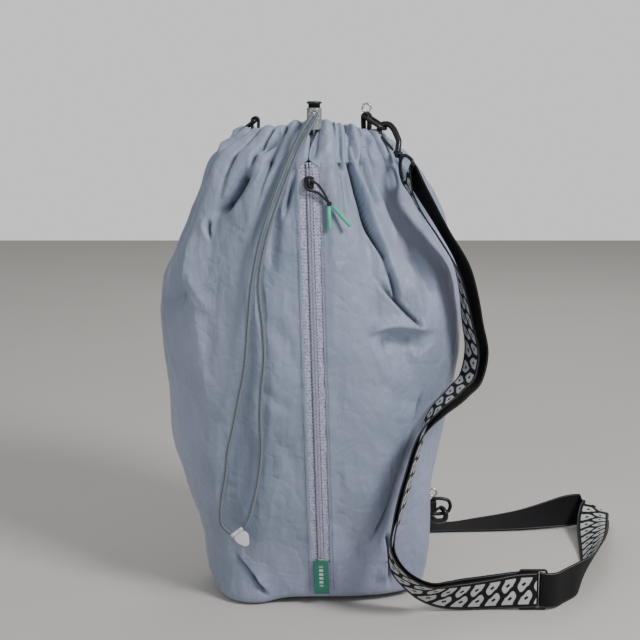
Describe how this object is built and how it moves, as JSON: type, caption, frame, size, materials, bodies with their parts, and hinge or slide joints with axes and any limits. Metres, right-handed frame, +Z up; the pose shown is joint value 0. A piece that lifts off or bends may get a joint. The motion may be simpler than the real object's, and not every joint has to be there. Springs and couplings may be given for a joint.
{
  "type": "drawstring shoe bag",
  "caption": "Tall soft drawstring bag with a full-height front zip, gathered mouth with drawcord and cord lock, D-rings and an adjustable hooked webbing shoulder strap.",
  "frame": {"origin": "bottom centre of the bag standing on its base", "axes": "+Z up towards the gathered mouth, -Y towards the zip side, +X towards the side that the shoulder strap hooks to"},
  "size_m": [0.5227, 0.3319, 0.5199],
  "materials": {
    "nylon": "thin crinkled ripstop nylon, slight sheen",
    "zip_tape": "woven zip tape, matt",
    "zip_coil": "moulded coil, satin",
    "bright_steel": "polished",
    "slider_metal": "dark plated, satin",
    "pull_cord": "braided, matt",
    "green_rubber": "smooth satin",
    "label_cloth": "woven",
    "braided_cord": "round braid, matt",
    "smoke_plastic": "translucent, glossy",
    "black_plastic": "semi-gloss moulded",
    "silver_plate": "silvery, satin",
    "tab_webbing": "woven webbing",
    "strap_webbing": "woven webbing, one face with a black and white geometric weave"
  },
  "bodies": {
    "bag": {"front_panel_left": "nylon", "front_panel_right": "nylon", "back_panel_left": "nylon", "back_panel_right": "nylon", "base_panel": "nylon", "zip_foot_panel": "nylon", "drawcord_channel": "nylon", "zip_tape_left": "zip_tape", "zip_tape_right": "zip_tape", "zip_chain_left": "zip_coil", "zip_chain_right": "zip_coil", "zip_top_stop_left": "bright_steel", "zip_top_stop_right": "bright_steel", "zip_bottom_stop": "bright_steel", "top_right_rivet_ring": "bright_steel", "lower_right_rivet_ring": "bright_steel", "woven_label": "label_cloth", "drawcord": "braided_cord", "drawcord_tail_left": "braided_cord", "drawcord_tail_right": "braided_cord", "upper_hook_eye": "black_plastic", "lower_hook_eye": "black_plastic", "cord_end_bar": "silver_plate", "cord_end_plate": "silver_plate", "top_left_tab": "tab_webbing", "top_right_tab": "tab_webbing", "lower_right_tab": "tab_webbing", "strap_outer_layer": "strap_webbing", "strap_inner_layer": "strap_webbing", "strap_single_run": "strap_webbing"},
    "slider": {"zip_slider": "slider_metal", "zip_slider_crown": "bright_steel"},
    "zip_pull": {"zip_pull_cord": "pull_cord", "zip_pull_sleeve_left": "green_rubber", "zip_pull_sleeve_right": "green_rubber"},
    "cord_lock": {"cord_lock_body": "smoke_plastic", "cord_lock_spring": "bright_steel"},
    "lock_plunger": {"cord_lock_plunger": "black_plastic"},
    "top_left_ring": {"top_left_d_ring": "black_plastic"},
    "top_right_ring": {"top_right_d_ring": "black_plastic"},
    "lower_right_ring": {"lower_right_d_ring": "black_plastic"},
    "upper_hook": {"upper_hook_body": "black_plastic"},
    "upper_gate": {"upper_hook_gate": "black_plastic"},
    "lower_hook": {"lower_hook_body": "black_plastic"},
    "lower_gate": {"lower_hook_gate": "black_plastic"},
    "glide": {"tri_glide": "black_plastic"}
  },
  "joints": [
    {"name": "zip_travel", "type": "hinge", "parent": "bag", "child": "slider", "pos_m": [0.0044, 0.631, 0.25], "axis": [0.9996, 0, 0.0297], "range_deg": [-0.5, 29.2]},
    {"name": "zip_pull_lift", "type": "hinge", "parent": "slider", "child": "zip_pull", "pos_m": [-0.00132, -0.08895, 0.44263], "axis": [0.9996, 0, 0.0297], "range_deg": [-130, 0]},
    {"name": "cord_lock_slide", "type": "slide", "parent": "bag", "child": "cord_lock", "axis": [0, -1, 0], "range_m": [0, 0.0035]},
    {"name": "lock_press", "type": "slide", "parent": "cord_lock", "child": "lock_plunger", "axis": [0, 0, -1], "range_m": [0, 0.0034], "stiffness_N_per_m": 500, "springref_m": -0.002, "deforming": ["cord_lock_spring"]},
    {"name": "top_left_ring_swing", "type": "hinge", "parent": "bag", "child": "top_left_ring", "pos_m": [-0.057, -0.002, 0.499], "axis": [0.0499, 0.9988, 0], "range_deg": [0, 150]},
    {"name": "top_right_ring_swing", "type": "hinge", "parent": "bag", "child": "top_right_ring", "pos_m": [0.0564, -0.0185, 0.5035], "axis": [0.3192, 0.9477, 0], "range_deg": [0, 4]},
    {"name": "lower_right_ring_swing", "type": "hinge", "parent": "bag", "child": "lower_right_ring", "pos_m": [0.136, 0.056, 0.067], "axis": [0, 0, 1], "range_deg": [-1, 15]},
    {"name": "upper_hook_swivel", "type": "hinge", "parent": "bag", "child": "upper_hook", "pos_m": [0.07644, -0.02625, 0.48885], "axis": [0.4142, -0.4537, -0.789], "range_deg": [-13, 13]},
    {"name": "upper_gate_hinge", "type": "hinge", "parent": "upper_hook", "child": "upper_gate", "pos_m": [0.08229, -0.0357, 0.4715], "axis": [-0.1441, -0.8887, 0.4353], "range_deg": [-18, 0], "stiffness_Nm_per_rad": 0.06, "springref_deg": 8.59},
    {"name": "lower_hook_swivel", "type": "hinge", "parent": "bag", "child": "lower_hook", "pos_m": [0.14663, 0.05937, 0.05698], "axis": [-0.4001, 0.8161, -0.4171], "range_deg": [-13, 13]},
    {"name": "lower_gate_hinge", "type": "hinge", "parent": "lower_hook", "child": "lower_gate", "pos_m": [0.13758, 0.07692, 0.05108], "axis": [-0.864, -0.4876, -0.1255], "range_deg": [-18, 0], "stiffness_Nm_per_rad": 0.06, "springref_deg": 8.59},
    {"name": "glide_slide", "type": "slide", "parent": "bag", "child": "glide", "axis": [1, 0, 0], "range_m": [-0.025, 0.004], "deforming": ["strap_outer_layer", "strap_inner_layer", "strap_single_run"]}
  ]
}
